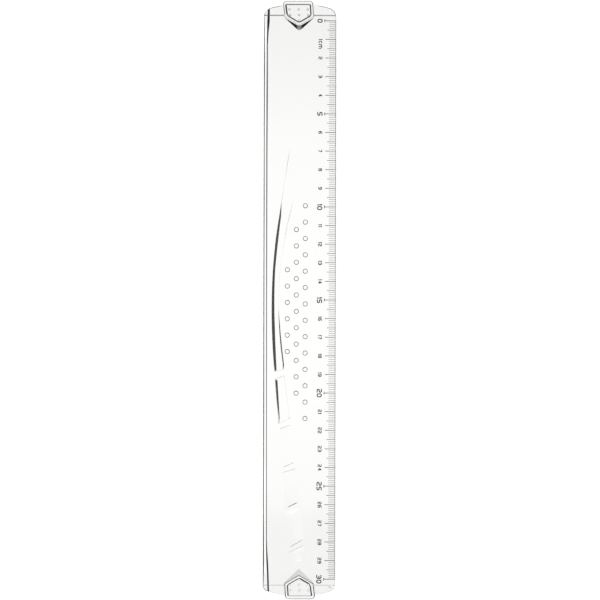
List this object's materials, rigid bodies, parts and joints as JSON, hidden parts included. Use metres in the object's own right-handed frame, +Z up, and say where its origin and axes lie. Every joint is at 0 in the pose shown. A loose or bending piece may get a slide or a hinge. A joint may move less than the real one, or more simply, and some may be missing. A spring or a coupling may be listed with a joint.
{
  "type": "plastic ruler",
  "caption": "Clear flat plastic ruler with a printed centimetre and millimetre scale on a bevelled edge, finger rail, grip studs and end guards.",
  "frame": {"origin": "middle of the underside, on the surface that the ruler lies on", "axes": "+X along the scale from 0 to 30 cm, +Y towards the scale edge, +Z up out of the printed side"},
  "size_m": [0.3212, 0.0386, 0.0034],
  "materials": {
    "clear_plastic": "clear colourless polystyrene, polished",
    "guard_plastic": "clear colourless plastic with a fine texture on the guard's floor",
    "printing_ink": "black hot-stamped ink, satin"
  },
  "bodies": {
    "root": {"numeral_0": "printing_ink", "numeral_1": "printing_ink", "numeral_10_ones": "printing_ink", "numeral_10_tens": "printing_ink", "numeral_11_ones": "printing_ink", "numeral_11_tens": "printing_ink", "numeral_12_ones": "printing_ink", "numeral_12_tens": "printing_ink", "numeral_13_ones": "printing_ink", "numeral_13_tens": "printing_ink", "numeral_14_ones": "printing_ink", "numeral_14_tens": "printing_ink", "numeral_15_ones": "printing_ink", "numeral_15_tens": "printing_ink", "numeral_16_ones": "printing_ink", "numeral_16_tens": "printing_ink", "numeral_17_ones": "printing_ink", "numeral_17_tens": "printing_ink", "numeral_18_ones": "printing_ink", "numeral_18_tens": "printing_ink", "numeral_19_ones": "printing_ink", "numeral_19_tens": "printing_ink", "numeral_2": "printing_ink", "numeral_20_ones": "printing_ink", "numeral_20_tens": "printing_ink", "numeral_21_ones": "printing_ink", "numeral_21_tens": "printing_ink", "numeral_22_ones": "printing_ink", "numeral_22_tens": "printing_ink", "numeral_23_ones": "printing_ink", "numeral_23_tens": "printing_ink", "numeral_24_ones": "printing_ink", "numeral_24_tens": "printing_ink", "numeral_25_ones": "printing_ink", "numeral_25_tens": "printing_ink", "numeral_26_ones": "printing_ink", "numeral_26_tens": "printing_ink", "numeral_27_ones": "printing_ink", "numeral_27_tens": "printing_ink", "numeral_28_ones": "printing_ink", "numeral_28_tens": "printing_ink", "numeral_29_ones": "printing_ink", "numeral_29_tens": "printing_ink", "numeral_3": "printing_ink", "numeral_30_ones": "printing_ink", "numeral_30_tens": "printing_ink", "numeral_4": "printing_ink", "numeral_5": "printing_ink", "numeral_6": "printing_ink", "numeral_7": "printing_ink", "numeral_8": "printing_ink", "numeral_9": "printing_ink", "ruler_blade": "clear_plastic", "scale_marks": "printing_ink", "thirty_end_guard": "guard_plastic", "unit_letter_c": "printing_ink", "unit_letter_m": "printing_ink", "zero_end_guard": "guard_plastic"}
  },
  "joints": []
}
